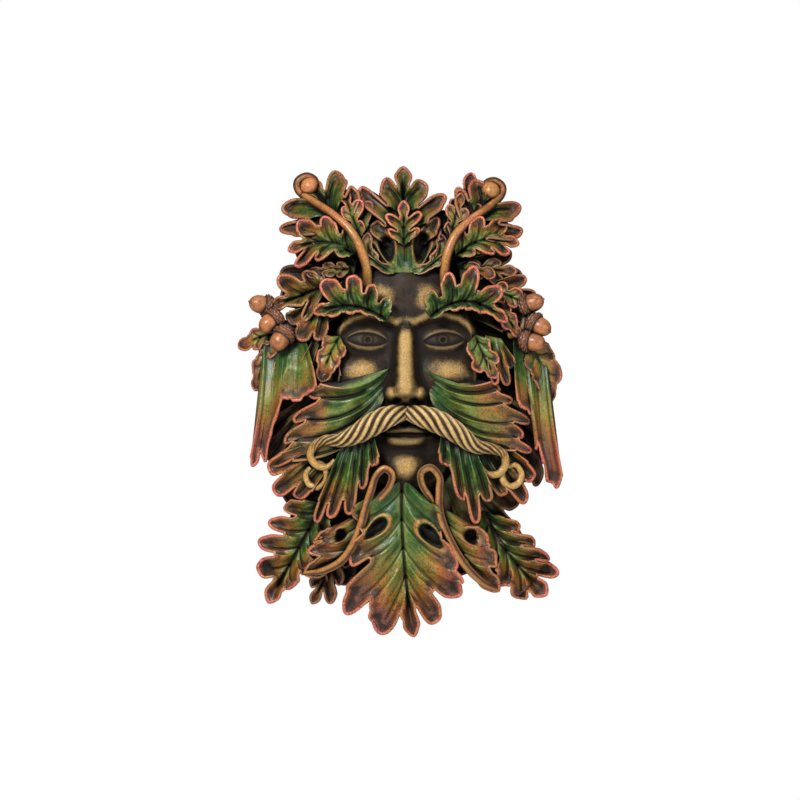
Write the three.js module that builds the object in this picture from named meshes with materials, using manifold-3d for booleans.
// Green man wall mask: a face looking out of oak leaves, cast in one solid piece with a flat back.
// Millimetres, +Z up. The face looks towards -Y and the back lies in the plane Y = 0. The origin is
// on the back, on the mask's centre line and midway between its highest and lowest leaf tips.

import * as THREE from "three";
import { mergeVertices } from "three/addons/utils/BufferGeometryUtils.js";
import Module from "manifold-3d";

const wasm = await Module();
wasm.setup();

// Driving dimensions
const MASK_HEIGHT = 300; // lowest leaf tip to highest leaf tip
const RELIEF_DEPTH = 46; // wall to the bed of the leaves at the middle of the face
const RIM_DEPTH = 9; // wall to the bed of the leaves at the outermost tips
const LEAF_THICKNESS = 5.5; // thickness of a leaf at its midrib, near its tip
const CORE_RECESS = 9; // depth of the dark ground below the bed of the leaves
const SLOT_ENTRY = 12; // diameter of the hanging hole's round entry, which a screw head passes
const SLOT_NECK = 6; // width of the slot above it, which holds the screw's shank
const SLOT_RISE = 14; // height from the entry's centre to the centre of the slot's round end
const SLOT_LIP = 3; // thickness of the lip that the screw head hooks behind
const SLOT_POCKET = 7; // depth of the pocket behind the lip
const SLOT_ABOVE_CENTRE = 70; // height of the entry's centre above the origin

// The carving is drawn at this height, so every place and size in the tables below stays a share of
// the mask's own height.
const DRAWN_HEIGHT = 300;
const SCALE = MASK_HEIGHT / DRAWN_HEIGHT;

// Half the width and half the height of the oval on which the bed of the leaves falls to the rim
const BED_HALF_WIDTH = 118;
const BED_HALF_HEIGHT = 160;
const BED_FULLNESS = 0.7;

const { sin, cos, PI, abs, hypot, min, max } = Math;
const radians = (degrees) => (degrees * PI) / 180;
const mix = (a, b, t) => a + (b - a) * t;
const clamp01 = (t) => min(1, max(0, t));
const smooth = (t) => clamp01(t) ** 2 * (3 - 2 * clamp01(t));

// Depth of the bed of the leaves in front of the wall
function bedDepth(x, z) {
  const r2 = (x / BED_HALF_WIDTH) ** 2 + (z / BED_HALF_HEIGHT) ** 2;
  return RIM_DEPTH + (RELIEF_DEPTH - RIM_DEPTH) * max(0, 1 - r2) ** BED_FULLNESS;
}

// A closed solid from rows of points [x, depth, z] that run round a loop or along a grid. The faces
// are given as triangles of point numbers; an inside-out body is turned round.
function solidFrom(points, triangles) {
  const position = points.flatMap(([x, depth, z]) => [x * SCALE, -depth * SCALE, z * SCALE]);
  const geometry = new THREE.BufferGeometry();
  geometry.setAttribute("position", new THREE.Float32BufferAttribute(position, 3));
  geometry.setIndex(triangles.flat());
  return manifoldOf(geometry);
}

function manifoldOf(geometry) {
  geometry.deleteAttribute("normal");
  geometry.deleteAttribute("uv");
  const merged = mergeVertices(geometry, 1e-3);
  const triVerts = new Uint32Array(merged.index.array);
  const build = () =>
    new wasm.Manifold(
      new wasm.Mesh({ numProp: 3, vertProperties: merged.attributes.position.array, triVerts }),
    );
  const made = build();
  if (made.volume() > 0) return made;
  for (let i = 0; i < triVerts.length; i += 3)
    [triVerts[i + 1], triVerts[i + 2]] = [triVerts[i + 2], triVerts[i + 1]];
  return build();
}

// Stitches rings of equal length into a tube; a ring that is one point closes an end.
function loft(rings) {
  const points = rings.flat();
  const triangles = [];
  let start = 0;
  for (let r = 0; r + 1 < rings.length; r++) {
    const [here, next] = [rings[r], rings[r + 1]];
    const after = start + here.length;
    const count = max(here.length, next.length);
    for (let i = 0; i < count; i++) {
      const j = (i + 1) % count;
      const [a, b] = here.length > 1 ? [start + i, start + j] : [start, start];
      const [c, d] = next.length > 1 ? [after + i, after + j] : [after, after];
      if (a !== b) triangles.push([a, b, d]);
      if (c !== d) triangles.push([a, d, c]);
    }
    start = after;
  }
  return solidFrom(points, triangles);
}

// The core: the dark ground that the carving stands on, with the flat back. Round its edge stands a
// low shoulder; inside the share faceShare of its size it rises above the bed, as the face's own ground.
const CORE = {
  centreHeight: 10,
  halfWidth: 84,
  halfHeight: 116,
  squareness: 2.1,
  sides: 18,
  rings: [0.86, 0.58, 0.3],
  shoulder: 7,
  faceShare: 0.45,
  faceLift: 4,
};

function coreRing(share, depthOf) {
  return Array.from({ length: CORE.sides }, (_, i) => {
    const a = (2 * PI * i) / CORE.sides;
    const power = CORE.squareness;
    const bulge = (abs(cos(a)) ** power + abs(sin(a)) ** power) ** (-1 / power);
    const x = CORE.halfWidth * share * bulge * cos(a);
    const z = CORE.centreHeight + CORE.halfHeight * share * bulge * sin(a);
    return [x, depthOf(x, z), z];
  });
}

function core() {
  const ground = (share) => {
    const lift = mix(CORE.faceLift, -CORE_RECESS, smooth((share - CORE.faceShare) / (1 - CORE.faceShare)));
    return coreRing(share, (x, z) => bedDepth(x, z) + lift);
  };
  const back = coreRing(1, () => 0);
  const shoulder = coreRing(1, () => CORE.shoulder);
  const z = CORE.centreHeight;
  const crown = [[0, bedDepth(0, z) + CORE.faceLift, z]];
  return loft([[[0, 0, z]], back, shoulder, ...CORE.rings.map(ground), crown]);
}

// Oak leaves. root and tip are [x, z]; bend bows the midrib to the left of the way from root to tip, as
// a share of its length; left and right give the length of each lobe from the root on; slant is how far
// the first lobe on the left and on the right leans from the midrib, in degrees, and fan how late the
// next ones turn in towards the tip; stalk and point are the bare stem and the end lobe, as shares of
// the length; sinus is how far the notches stay out; lift is the height above the bed at the root, the
// middle and the tip.
const LEAF_DEFAULTS = { bend: 0, stalk: 0.08, point: 0.2, slant: [60, 60], fan: 5, sinus: 0.58 };

const LEAVES = {
  crownBack: {
    root: [-2, 84], tip: [-2.5, 150], left: [24, 33, 21], right: [28, 32, 19], slant: [55, 58],
    lift: [2, 5, 3],
  },
  crownFront: {
    root: [-2, 82], tip: [-2, 127.5], left: [15, 15], right: [15, 15], stalk: 0.25, lift: [8, 13, 9],
  },
  collarLeft: {
    root: [-2, 82], tip: [-23, 109.5], bend: 0.3, left: [4, 5], right: [4, 6], lift: [7, 10, 6],
  },
  collarRight: {
    root: [-2, 82], tip: [20.5, 109], bend: -0.3, left: [4, 6], right: [4, 5], lift: [7, 10, 6],
  },
  hornLeafLeft: {
    root: [-28, 94], tip: [-64, 142], left: [25, 38, 30], right: [26, 23, 27], slant: [62, 60], fan: 6,
    sinus: 0.65, lift: [3, 7, 4],
  },
  hornLeafRight: {
    root: [28, 92], tip: [60, 140], left: [32, 37, 22], right: [24, 32, 26], slant: [38, 64],
    sinus: 0.65, lift: [3, 7, 4],
  },
  crestLeft: {
    root: [-29, 91], tip: [-76.5, 95], bend: -0.18, left: [8, 15, 20], right: [12, 18, 18],
    slant: [58, 62], lift: [6, 12, 8],
  },
  crestRight: {
    root: [28, 89], tip: [72.5, 99], bend: 0.2, left: [12, 17, 15], right: [8, 13, 16],
    slant: [62, 55], lift: [6, 12, 8],
  },
  tuckLeft: {
    root: [-38, 83], tip: [-62.5, 80], bend: -0.05, left: [4], right: [4], point: 0.35,
    lift: [4, 8, 7],
  },
  nestLeft: {
    root: [-38, 82], tip: [-86.5, 60], left: [8, 21, 7], right: [8, 13, 18], slant: [44, 72],
    lift: [2, 5, 7],
  },
  nestRight: {
    root: [32, 85], tip: [70, 83], left: [4, 8], right: [8, 12], slant: [60, 50], lift: [2, 5, 4],
  },
  tuckRight: {
    root: [34, 83], tip: [56, 79], bend: 0.12, left: [4], right: [4], point: 0.3, lift: [4, 8, 7],
  },
  fringeRight: {
    root: [52, 68], tip: [79.5, 58], bend: 0.1, left: [7, 6], right: [6, 6], lift: [5, 9, 9],
  },
  fallRight: {
    root: [58, 64], tip: [72, 41], left: [5, 5], right: [5, 5], sinus: 0.95, lift: [6, 9, 8],
  },
  fallLeft: {
    root: [-55, 60], tip: [-69, 39], left: [7, 7], right: [6, 6], sinus: 0.8, lift: [4, 7, 6],
  },
  browLeft: {
    root: [-10, 48], tip: [-60, 56], bend: -0.17, left: [3, 4, 5, 20], right: [12, 17, 22, 20],
    slant: [48, 85], sinus: 0.45, lift: [13, 17, 12],
  },
  browRight: {
    root: [11, 49], tip: [63.5, 48], bend: 0.28, left: [12, 17, 18, 16, 9], right: [3, 4, 5, 4, 4],
    slant: [82, 60], sinus: 0.5, lift: [13, 17, 12],
  },
  templeLeft: {
    root: [-41, 43], tip: [-54, 12], bend: -0.06, left: [9, 9], right: [9, 8], sinus: 0.9, point: 0.3,
    lift: [8, 12, 9],
  },
  templeRight: {
    root: [44, 44], tip: [57, 15], bend: -0.05, left: [7, 8], right: [8, 10], sinus: 0.8,
    lift: [8, 12, 10],
  },
  templeBackRight: {
    root: [53, 40], tip: [62, 9], bend: 0.16, left: [5, 6], right: [6, 6], sinus: 0.9, lift: [6, 9, 7],
  },
  cheekLeft: {
    root: [-12, 25], tip: [-80, -26], left: [14, 18, 17], right: [9, 13, 13], sinus: 0.8, point: 0.22,
    lift: [5, 9, 8],
  },
  cheekTopLeft: {
    root: [-32, 13], tip: [-69, -1.5], left: [6, 6], right: [6, 6], sinus: 0.8, lift: [4, 6, 6],
  },
  cheekRight: {
    root: [8, 27], tip: [79, -31], bend: -0.04, left: [31, 31, 32, 18], right: [7, 9, 10, 9],
    slant: [37, 60], stalk: 0.2, fan: 4, sinus: 0.75, lift: [5, 9, 8],
  },
  sideLeft: {
    root: [-65, 42], tip: [-97, -38], bend: -0.09, left: [27, 21, 18, 14], right: [8, 9, 8, 6],
    slant: [60, 60], point: 0.15, sinus: 0.7, lift: [5, 12, 9],
  },
  sideRight: {
    root: [64, 38], tip: [93, -54], bend: 0.06, left: [8, 8, 6], right: [24, 27, 19], slant: [60, 40],
    point: 0.16, sinus: 0.7, lift: [5, 12, 9],
  },
  outerSideLeft: {
    root: [-82, 36], tip: [-97, 9], left: [9, 9], right: [6, 6], sinus: 0.9, lift: [2, 5, 2],
  },
  outerSideRight: {
    root: [76, 34], tip: [89, 0], bend: 0.2, left: [9, 8], right: [8, 8], sinus: 0.95, lift: [2, 5, 2],
  },
  earLeft: {
    root: [-84, 43], tip: [-107.5, 33], bend: -0.1, left: [6, 7], right: [7, 6], sinus: 0.9,
    point: 0.34, lift: [2, 5, 3],
  },
  earLowLeft: { root: [-84, 40], tip: [-95, 24], left: [5], right: [5], sinus: 0.9, lift: [3, 6, 4] },
  jawLeft: {
    root: [-46, -20], tip: [-86.5, -43], bend: 0.04, left: [8, 9], right: [7, 7], sinus: 0.7,
    lift: [4, 6, 6],
  },
  jawLowLeft: {
    root: [-56, -34], tip: [-85, -59], left: [10, 15], right: [8, 8], slant: [45, 60], lift: [2, 5, 5],
  },
  jawRight: {
    root: [56, -30], tip: [79, -48.5], left: [7, 7], right: [7, 7], sinus: 0.9, point: 0.25,
    lift: [3, 5, 6],
  },
  jawLowRight: {
    root: [56, -40], tip: [77, -65], left: [6, 6], right: [6, 8], sinus: 0.8, point: 0.24,
    lift: [2, 5, 4],
  },
  curlLeafRight: {
    root: [47, -42], tip: [62, -59], bend: -0.1, left: [6], right: [7], sinus: 0.8, lift: [5, 8, 7],
  },
  mouthLeft: {
    root: [-34, -30], tip: [-36, -70.5], bend: 0.04, left: [6, 12], right: [6, 6], slant: [45, 45],
    sinus: 0.6, lift: [8, 13, 12],
  },
  mouthInLeft: {
    root: [-25, -20], tip: [-21, -41.5], left: [4], right: [4], sinus: 0.9, point: 0.2,
    lift: [7, 11, 9],
  },
  mouthRight: {
    root: [32, -32], tip: [34, -61.5], left: [6, 4.5], right: [6, 11], slant: [45, 45], sinus: 0.6,
    lift: [8, 13, 12],
  },
  mouthInRight: {
    root: [25, -20], tip: [23, -38], left: [4], right: [4], sinus: 0.9, point: 0.2, lift: [7, 11, 9],
  },
  dropLeft: {
    root: [-50, -44], tip: [-50.5, -75.5], left: [4, 4], right: [4, 4], sinus: 1, point: 0.13,
    lift: [5, 9, 8],
  },
  dropOuterLeft: {
    root: [-56, -46], tip: [-58.5, -77], left: [4, 4], right: [4, 4], sinus: 1, point: 0.13,
    lift: [4, 7, 6],
  },
  dropRight: {
    root: [42, -42], tip: [44, -78.5], bend: 0.08, left: [5, 5], right: [5, 9], slant: [45, 35],
    sinus: 0.7, point: 0.14, lift: [6, 10, 9],
  },
  beardLowLeft: {
    root: [-38, -86], tip: [-61, -130], left: [10, 12, 17], right: [8, 9, 9], slant: [50, 50],
    lift: [0, 3, 1],
  },
  outerBeardLeft: {
    root: [-52, -60], tip: [-89, -129.5], left: [10, 14, 13, 12], right: [23, 23, 26, 22],
    slant: [45, 76], lift: [3, 7, 5],
  },
  outerBeardRight: {
    root: [46, -66], tip: [91, -124.5], bend: -0.06, left: [23, 25, 26, 28], right: [8, 10, 12, 28],
    slant: [47, 32], fan: 8, lift: [3, 7, 5],
  },
  strapLeft: {
    root: [-25, -64], tip: [-68, -109], bend: 0.22, left: [4, 4], right: [19, 22], slant: [50, 75],
    lift: [10, 13, 14],
  },
  strapRight: {
    root: [19, -64], tip: [58, -120], bend: -0.11, left: [16, 19], right: [5, 5], slant: [70, 50],
    lift: [10, 13, 14],
  },
  beardCentre: {
    root: [-3, -46], tip: [5, -150.5], bend: -0.03, left: [20, 36, 50, 41], right: [20, 39, 50, 37],
    slant: [55, 57], sinus: 0.42, lift: [7, 12, 12],
  },
};

const FULLNESS = 0.5; // how blunt the lobes are: 1 is a plain sine, less is blunter
const LOBE_BULB = 0.12; // how far a lobe swells sideways, as a share of the spacing of the lobes
const PIPE_HEIGHT = 3; // height of the fold that runs out to each notch
const CUP_HEIGHT = 1.5; // height by which the margin stands above the midrib
const ROOT_SHARE = 0.4; // depth to which a leaf's root reaches down, as a share of the bed's depth
const WAVY_SINUS = 0.8; // sinus from which a margin is only wavy
const SMALL_LEAF = 38; // length up to which a leaf is cut as if its margin were wavy
// Where along a lobe the margin and the midrib are cut into facets
const LOBE_CUTS = { margin: [0, 0.22, 0.5, 0.78], rib: [0, 0.5] };
const WAVY_CUTS = { margin: [0, 0.5], rib: [0] };

// A point of a leaf: side is 1 on the left of the midrib and -1 on the right, phase counts the lobes
// from the root, whole at a notch and half at a lobe's tip, and v runs from the midrib to the margin.
function leafPoint(leaf, side, phase, v) {
  const lobes = side > 0 ? leaf.left : leaf.right;
  const [rx, rz] = leaf.root;
  const [dx, dz] = [leaf.tip[0] - rx, leaf.tip[1] - rz];
  const length = hypot(dx, dz);
  const along = phase / (lobes.length + 0.5);
  const s = mix(leaf.stalk, 1 - leaf.point, along);
  const bow = 4 * leaf.bend * s * (1 - s);
  const slope = 4 * leaf.bend * (1 - 2 * s);
  const spine = [rx + dx * s - dz * bow, rz + dz * s + dx * bow];
  const tangent = [dx - dz * slope, dz + dx * slope].map((c) => c / (length * hypot(1, slope)));
  const angle = radians(leaf.slant[side > 0 ? 0 : 1]) * (1 - along ** leaf.fan);
  const ray = [
    tangent[0] * cos(angle) - side * tangent[1] * sin(angle),
    tangent[1] * cos(angle) + side * tangent[0] * sin(angle),
  ];
  const across = [side * ray[1], -side * ray[0]];
  const lobe = min(Math.floor(phase), lobes.length);
  const part = phase - lobe;
  const reach = (i) => (i < lobes.length ? (lobes[max(i, 0)] ?? 0) : leaf.point * length);
  const notch = leaf.sinus * min(reach(part < 0.5 ? lobe - 1 : lobe + 1), reach(lobe));
  const full = sin(PI * part) ** FULLNESS;
  const radius = mix(notch, reach(lobe), full) * v;
  const pitch = (length * (1 - leaf.stalk - leaf.point)) / (lobes.length + 0.5);
  const spread = LOBE_BULB * pitch * sin(2 * PI * part) * v * v;
  const x = spine[0] + ray[0] * radius - across[0] * spread;
  const z = spine[1] + ray[1] * radius - across[1] * spread;
  const t = s + (radius * cos(angle)) / length;
  const lift = mix(mix(leaf.lift[0], leaf.lift[1], clamp01(2 * t)), leaf.lift[2], clamp01(2 * t - 1));
  const ridge = 0.5 + 0.5 * cos(2 * PI * part);
  const relief = (PIPE_HEIGHT * ridge + CUP_HEIGHT) * v;
  return { x, z, t, depth: bedDepth(x, z) + lift + relief };
}

// A leaf is a wedge all round: its front runs from the midrib to the margin, and its back from the
// margin down to a keel below the midrib, which reaches into the core at the root.
function leafSolid(row) {
  const leaf = { ...LEAF_DEFAULTS, ...row };
  const length = hypot(leaf.tip[0] - leaf.root[0], leaf.tip[1] - leaf.root[1]);
  const cuts = leaf.sinus < WAVY_SINUS && length > SMALL_LEAF ? LOBE_CUTS : WAVY_CUTS;
  const lobes = leaf.left.length;
  const chain = (perLobe, perEnd) => {
    const inLobes = leaf.left.flatMap((_, lobe) => perLobe.map((cut) => lobe + cut));
    const phases = [...inLobes, ...perEnd.map((cut) => lobes + cut)];
    const wayBack = phases.toReversed().slice(1);
    return [...phases.map((phase) => [1, phase]), ...wayBack.map((phase) => [-1, phase])];
  };
  const place = ({ x, z, depth }) => [x, depth, z];
  const keelPoint = (rib) => {
    const root = ROOT_SHARE * bedDepth(rib.x, rib.z);
    const free = rib.depth - LEAF_THICKNESS / SCALE;
    return [rib.x, max(1, mix(root, free, smooth(1.4 * rib.t - 0.2))), rib.z];
  };
  const middle = chain(cuts.rib, [0, 0.5]);
  const ribs = middle.map(([side, phase]) => leafPoint(leaf, side, phase, 0));
  const edge = chain(cuts.margin, [0, 0.25, 0.5]);
  const margin = edge.map(([side, phase]) => place(leafPoint(leaf, side, phase, 1)));
  const way = ([side, phase]) => (side > 0 ? phase : 2 * lobes + 1 - phase);
  const [rib, rim, keel] = [0, ribs.length, ribs.length + margin.length];
  const number = (rows, first) => rows.map((row, i) => [way(row), first + i]);
  const front = stitch(number(middle, rib), number(edge, rim));
  const back = stitch(number(edge, rim), number(middle, keel));
  const last = [rim - 1, keel + ribs.length - 1, keel - 1];
  const points = [...ribs.map(place), ...margin, ...ribs.map(keelPoint)];
  return solidFrom(points, [...front, ...back, [rib, rim, keel], last]);
}

// Triangles between two rows of [place along the row, point number] that start and end side by side
function stitch(first, second) {
  const triangles = [];
  let [i, j] = [0, 0];
  while (i + 1 < first.length || j + 1 < second.length) {
    const firstNext = first[i + 1]?.[0] ?? Infinity;
    const secondNext = second[j + 1]?.[0] ?? Infinity;
    if (secondNext <= firstNext) triangles.push([first[i][1], second[++j][1], second[j - 1][1]]);
    else triangles.push([first[i][1], first[++i][1], second[j][1]]);
  }
  return triangles;
}

// Rods and locks: each runs through points [x, z, height above the bed, half width]. ridges are the
// strands that stand out of a lock and turns how often they wind round it.
const SWEEPS = {
  hornLeft: {
    path: [
      [-25, 71, 3, 3.4], [-26.5, 88, 10, 3.4], [-37, 109.5, 14, 3.3], [-52, 123, 13, 2.8],
      [-66.5, 132, 9, 2.8], [-70, 139, 9, 2.7], [-65.5, 143, 9, 2.8], [-61, 139.5, 9, 4.2],
    ],
  },
  hornRight: {
    path: [
      [24, 71, 3, 3.4], [24.5, 88, 10, 3.4], [32, 106, 14, 3.3], [45, 118, 13, 2.8], [58, 127, 9, 2.8],
      [62, 134.5, 9, 2.7], [57.5, 140, 9, 2.8], [53, 136, 9, 4.2],
    ],
  },
  lockLeft: {
    path: [
      [0, -7, 10, 4.5], [-11, -9.5, 13, 7], [-22, -15, 14, 8], [-33, -21.5, 15, 7], [-43, -25, 15, 5],
      [-52, -25, 14, 3.6], [-59, -29, 13, 2.8], [-61, -35, 13, 2.6], [-57, -40.5, 13, 2.5],
      [-50, -41.5, 12, 2.3], [-45, -37, 12, 1.6],
    ],
    ridges: 3,
    turns: 1.2,
  },
  lockRight: {
    path: [
      [-1, -7, 10, 4.5], [9, -9.5, 13, 7], [20, -13.5, 14, 8], [32, -20.5, 15, 7.5],
      [43, -28.5, 15, 5.5], [54, -30.5, 14, 4], [61.5, -34, 13, 2.9], [62, -41, 13, 2.6],
      [57.5, -46, 13, 2.5], [50.5, -46, 12, 2.3], [46.5, -41, 12, 1.6],
    ],
    ridges: 3,
    turns: -1.2,
  },
  curlLeft: {
    path: [
      [-58, -37, 10, 2.2], [-53.5, -43, 10, 2.4], [-54, -50.5, 10, 2.4], [-59, -54.5, 10, 2.3],
      [-64.5, -52, 10, 2.2], [-66.5, -46, 9, 2], [-65, -40, 9, 1.4],
    ],
  },
  curlRight: {
    path: [
      [61, -42, 10, 2.2], [60.5, -49, 10, 2.4], [65, -54.5, 10, 2.4], [71, -52.5, 10, 2.3],
      [73, -46.5, 10, 2.2], [69.5, -41, 9, 2], [64, -42, 9, 1.4],
    ],
  },
  loopLeft: {
    path: [
      [-27, -70, 9, 2.6], [-23, -57, 12, 2.5], [-20, -48, 13, 2.4], [-14.5, -43.5, 13, 2.4],
      [-10, -47.5, 13, 2.4], [-12.5, -55, 12, 2.4], [-22, -64, 9, 2.2],
    ],
  },
  loopRight: {
    path: [
      [20, -72, 9, 2.6], [20.5, -58, 12, 2.5], [21, -48.5, 13, 2.4], [15.5, -43, 13, 2.4],
      [9.5, -46.5, 13, 2.4], [10.5, -54, 12, 2.4], [17, -64, 9, 2.2],
    ],
  },
  stemLeft: { path: [[-62, 46, 2, 3], [-77, 49, 8, 3], [-89, 58, 8, 2.6]] },
  stemRight: { path: [[58, 40, 2, 3], [73, 44, 8, 3], [77, 58, 8, 2.6]] },
};

const SWEEP_SIDES = 5;
const SWEEP_STEPS_PER_POINT = 1.6;
const RIDGE_SHARE = 0.24; // height of a strand, as a share of the lock's half width

function sweep({ path, ridges = 0, turns = 0 }) {
  const points = path.map(([x, z, lift]) => new THREE.Vector3(x, bedDepth(x, z) + lift, z));
  const curve = new THREE.CatmullRomCurve3(points);
  const steps = Math.round(SWEEP_STEPS_PER_POINT * (path.length - 1));
  const outward = new THREE.Vector3(0, 1, 0);
  const rings = Array.from({ length: steps + 1 }, (_, i) => {
    const t = i / steps;
    const centre = curve.getPoint(t);
    const along = curve.getTangent(t);
    const aside = new THREE.Vector3().crossVectors(along, outward).normalize();
    const out = new THREE.Vector3().crossVectors(aside, along);
    const place = t * (path.length - 1);
    const near = min(Math.floor(place), path.length - 2);
    const radius = mix(path[near][3], path[near + 1][3], smooth(place - near));
    const sides = ridges ? 2 * ridges : SWEEP_SIDES;
    return Array.from({ length: sides }, (_, k) => {
      const angle = (2 * PI * k) / sides + 2 * PI * turns * t;
      const r = radius * (ridges && k % 2 ? 1 - RIDGE_SHARE : 1);
      const p = centre.clone().addScaledVector(aside, r * cos(angle)).addScaledVector(out, r * sin(angle));
      return [p.x, max(p.y, 1), p.z];
    });
  });
  const end = (ring) => [[0, 1, 2].map((c) => ring.reduce((sum, p) => sum + p[c], 0) / ring.length)];
  return loft([end(rings[0]), ...rings, end(rings[steps])]);
}

// Acorns: place [x, z], height above the bed, and the way each nut points in the plane of the wall
const ACORN_RADIUS = 5.8;
const ACORNS = [
  { at: [-92, 61], lift: 9, points: 160 },
  { at: [-86, 51], lift: 12, points: 215 },
  { at: [-79.5, 41], lift: 13, points: 235 },
  { at: [78, 62], lift: 9, points: 25 },
  { at: [82, 49.5], lift: 12, points: -30 },
  { at: [77.5, 38.5], lift: 10, points: -12 },
];
const ACORN_SIDES = 7;
const ACORN_TILT = 0.35; // how far a nut points away from the wall: height gained per length
// Outline of an acorn, as shares of the nut's radius: distance from the axis, then place along it
const ACORN_OUTLINE = [[0, -0.9], [0.8, -0.7], [1.1, 0.1], [0.95, 0.2], [0.95, 0.8], [0.6, 1.4], [0, 1.7]];

function acorn({ at: [x, z], lift, points }) {
  const along = new THREE.Vector3(cos(radians(points)), ACORN_TILT, sin(radians(points))).normalize();
  const aside = new THREE.Vector3(0, 1, 0).cross(along).normalize();
  const out = new THREE.Vector3().crossVectors(along, aside);
  const centre = new THREE.Vector3(x, bedDepth(x, z) + lift, z);
  const rings = ACORN_OUTLINE.map(([r, place]) => {
    const middle = centre.clone().addScaledVector(along, place * ACORN_RADIUS);
    if (r === 0) return [[middle.x, middle.y, middle.z]];
    return Array.from({ length: ACORN_SIDES }, (_, k) => {
      const angle = (2 * PI * k) / ACORN_SIDES;
      const p = middle
        .clone()
        .addScaledVector(aside, r * ACORN_RADIUS * cos(angle))
        .addScaledVector(out, r * ACORN_RADIUS * sin(angle));
      return [p.x, p.y, p.z];
    });
  });
  return loft(rings);
}

// The face, drawn about its own upright middle line. Mounds are ovals at [x, z] with half sizes in x, z
// and depth, whose centre stands lift above the bed; those that are not in the middle have a twin. The
// sockets are cut out before the eyes, the lids and the nose go in.
const FACE_MIDDLE = -1;
const MOUND_DETAIL = 1;
const SOCKET = { at: [25, 39], size: [18, 10, 13], lift: 8 };
const MOUNDS = {
  eye: { at: [25, 38.5], size: [12, 7.5, 7], lift: 0 },
  cheekbone: { at: [26, 20], size: [18, 12, 9], lift: 0 },
  nostril: { at: [8, 5], size: [5.5, 6, 9], lift: 5 },
  chin: { at: [0, -42], size: [14, 12, 10], lift: 1 },
};
const FACE_SWEEPS = {
  browRidge: { path: [[5, 50, 3, 4], [18, 56, 4, 5.5], [33, 53, 3, 5], [43, 43, -2, 4]] },
  upperLid: { path: [[11.5, 37, 1, 1.6], [18, 44.5, 4, 1.9], [28, 46, 4, 1.9], [39, 38, 1, 1.6]] },
  lowerLid: { path: [[11.5, 37, 1, 1.4], [19, 32.5, 3, 1.7], [29, 31.5, 3, 1.7], [39, 38, 1, 1.4]] },
  upperLip: { path: [[-15, -21, 1, 1.2], [-6, -18, 5, 2.6], [6, -18, 5, 2.6], [15, -21, 1, 1.2]] },
  lowerLip: { path: [[-15, -21, 1, 1.2], [-6, -26, 5, 4], [6, -26, 5, 4], [15, -21, 1, 1.2]] },
};
// The nose's outline from the bridge down: height z, half width, and height of its ridge above the bed
const NOSE = [[54, 3.5, 5], [44, 4, 8], [30, 5, 12], [16, 6.5, 17], [8, 8, 20], [3, 7.5, 18], [-2, 5, 8]];
const NOSE_PROFILE = [[-1.7, -0.4], [-1, 0.1], [-0.75, 0.7], [0, 1], [0.75, 0.7], [1, 0.1], [1.7, -0.4]];

function mound({ at: [x, z], size: [rx, rz, depth], lift }, side = 1) {
  const geometry = new THREE.IcosahedronGeometry(1, MOUND_DETAIL);
  geometry.scale(rx * SCALE, depth * SCALE, rz * SCALE);
  const place = FACE_MIDDLE + side * x;
  geometry.translate(place * SCALE, -(bedDepth(place, z) + lift) * SCALE, z * SCALE);
  return manifoldOf(geometry);
}

function nose() {
  const ring = ([z, width, height]) =>
    NOSE_PROFILE.map(([across, up]) => {
      const x = FACE_MIDDLE + across * width;
      return [x, bedDepth(FACE_MIDDLE, z) + up * height, z - 2 * up];
    });
  const rings = NOSE.map(ring);
  const end = (points) => [points[3].map((c, i) => (i === 1 ? c / 2 : c))];
  return loft([end(rings[0]), ...rings, end(rings.at(-1))]);
}

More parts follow.
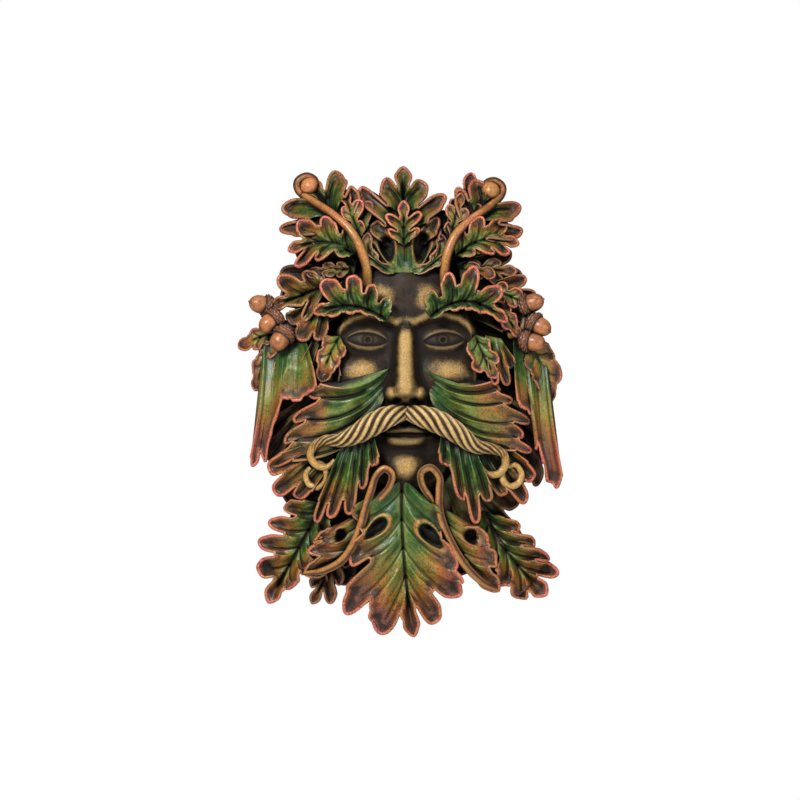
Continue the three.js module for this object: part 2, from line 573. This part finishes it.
function face() {
  const both = (make) => make(1).add(make(-1));
  const mirrored = (row, side) => ({
    path: row.path.map(([x, z, lift, radius]) => [FACE_MIDDLE + side * x, z, lift, radius]),
  });
  const skull = core().subtract(both((side) => mound(SOCKET, side)));
  const inTheMiddle = (row) => row.at?.[0] === 0 || row.path?.[0][0] < 0;
  const twice = (row, make) => (inTheMiddle(row) ? make(1) : both(make));
  const mounds = Object.values(MOUNDS).map((row) => twice(row, (side) => mound(row, side)));
  const rods = Object.values(FACE_SWEEPS).map((row) => twice(row, (side) => sweep(mirrored(row, side))));
  return [...mounds, ...rods, nose()].reduce((whole, piece) => whole.add(piece), skull);
}

const pieces = {
  face: face(),
  ...Object.fromEntries(Object.entries(LEAVES).map(([name, row]) => [name, leafSolid(row)])),
  ...Object.fromEntries(Object.entries(SWEEPS).map(([name, row]) => [name, sweep(row)])),
  ...Object.fromEntries(ACORNS.map((row, i) => [`acorn${i}`, acorn(row)])),
};
const solid = Object.values(pieces).reduce((whole, piece) => whole.add(piece));

// The keyhole slot in the back: a round entry, and above it a slot whose pocket is wider than its mouth
function rounded(width, rise, from, to) {
  const shape = new THREE.Shape();
  shape.absarc(0, rise, width / 2, 0, PI);
  shape.absarc(0, 0, width / 2, PI, 2 * PI);
  const straight = { depth: to - from, bevelEnabled: false, curveSegments: 6 };
  const geometry = new THREE.ExtrudeGeometry(shape, straight);
  geometry.rotateX(PI / 2);
  geometry.translate(0, -from, SLOT_ABOVE_CENTRE);
  return manifoldOf(geometry);
}

const slotDepth = SLOT_LIP + SLOT_POCKET;
const entry = rounded(SLOT_ENTRY, 0.01, -1, slotDepth);
const mouth = rounded(SLOT_NECK, SLOT_RISE, -1, slotDepth);
const pocket = rounded(SLOT_ENTRY, SLOT_RISE, SLOT_LIP, slotDepth);
const cast = largest(solid.subtract(entry.add(mouth).add(pocket)));

// Crumbs that are cut off where surfaces cross are left out.
function largest(whole) {
  return whole.decompose().reduce((best, body) => (body.volume() > best.volume() ? body : best));
}

function meshOf(solid, name, material) {
  const { vertProperties, triVerts } = solid.getMesh();
  const geometry = new THREE.BufferGeometry();
  geometry.setAttribute("position", new THREE.BufferAttribute(vertProperties, 3));
  geometry.setIndex(new THREE.BufferAttribute(triVerts, 1));
  const faceted = geometry.toNonIndexed();
  faceted.computeVertexNormals();
  const mesh = new THREE.Mesh(faceted, material);
  mesh.name = name;
  return mesh;
}

const PAINTED_RESIN = new THREE.MeshStandardMaterial({ color: 0x4c5a2c, roughness: 0.5, metalness: 0.05 });

const group = new THREE.Group();
group.add(meshOf(cast, "green_man_mask", PAINTED_RESIN));

export default group;
